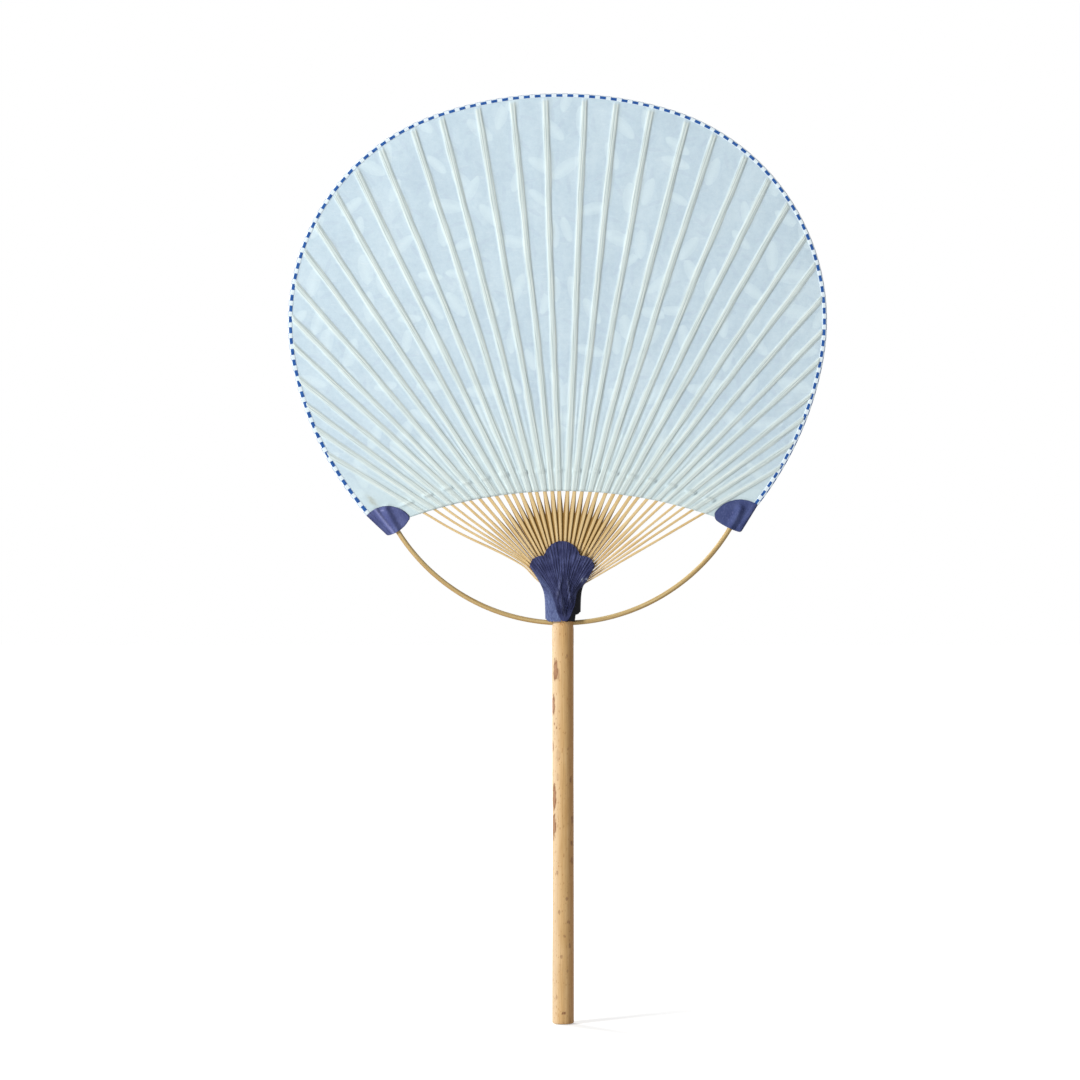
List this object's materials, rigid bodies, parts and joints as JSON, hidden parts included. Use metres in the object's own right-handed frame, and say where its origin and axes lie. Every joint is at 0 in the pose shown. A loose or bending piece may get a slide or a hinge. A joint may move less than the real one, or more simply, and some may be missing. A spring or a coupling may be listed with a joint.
{
  "type": "round hand fan",
  "caption": "Round hand fan: a bamboo culm split into a fan of ribs, spread by a bow and covered on both faces with pale blue paper, with a checked rim and navy corner and neck papers.",
  "frame": {"origin": "centre of the grip's lower end, on the axis of the culm", "axes": "+Z runs along the grip from its lower end to the top of the head, -Y is the pictured face of the fan, +X is to the right when that face is looked at"},
  "size_m": [0.2508, 0.0123, 0.4328],
  "materials": {
    "bamboo_culm": "pale bamboo skin, satin, with brown blotches",
    "willow_plug": "cut end grain, matt",
    "bamboo_ribs": "split bamboo, pale cream, satin",
    "bamboo_bow": "shaved bamboo, satin",
    "cotton_thread": "twisted cotton, matt",
    "front_paper": "thin pale blue paper with a faint tonal pattern, matt",
    "back_paper": "thin pale blue paper, matt",
    "rim_paper": "blue and white checked paper, matt",
    "navy_paper": "dyed crinkled paper, matt",
    "wrap_paper": "dyed crinkled paper, matt"
  },
  "bodies": {
    "root": {"handle_culm": "bamboo_culm", "end_plug": "willow_plug", "rib_01": "bamboo_ribs", "rib_02": "bamboo_ribs", "rib_03": "bamboo_ribs", "rib_04": "bamboo_ribs", "rib_05": "bamboo_ribs", "rib_06": "bamboo_ribs", "rib_07": "bamboo_ribs", "rib_08": "bamboo_ribs", "rib_09": "bamboo_ribs", "rib_10": "bamboo_ribs", "rib_11": "bamboo_ribs", "rib_12": "bamboo_ribs", "rib_13": "bamboo_ribs", "rib_14": "bamboo_ribs", "rib_15": "bamboo_ribs", "rib_16": "bamboo_ribs", "rib_17": "bamboo_ribs", "rib_18": "bamboo_ribs", "rib_19": "bamboo_ribs", "rib_20": "bamboo_ribs", "rib_21": "bamboo_ribs", "rib_22": "bamboo_ribs", "rib_23": "bamboo_ribs", "rib_24": "bamboo_ribs", "rib_25": "bamboo_ribs", "rib_26": "bamboo_ribs", "rib_27": "bamboo_ribs", "rib_28": "bamboo_ribs", "rib_29": "bamboo_ribs", "rib_30": "bamboo_ribs", "rib_31": "bamboo_ribs", "rib_32": "bamboo_ribs", "rib_33": "bamboo_ribs", "rib_34": "bamboo_ribs", "bow": "bamboo_bow", "binding_thread": "cotton_thread", "front_face": "front_paper", "back_face": "back_paper", "rim_tape": "rim_paper", "left_ear": "navy_paper", "right_ear": "navy_paper", "neck_wrap_front": "wrap_paper", "neck_wrap_back": "wrap_paper"}
  },
  "joints": []
}
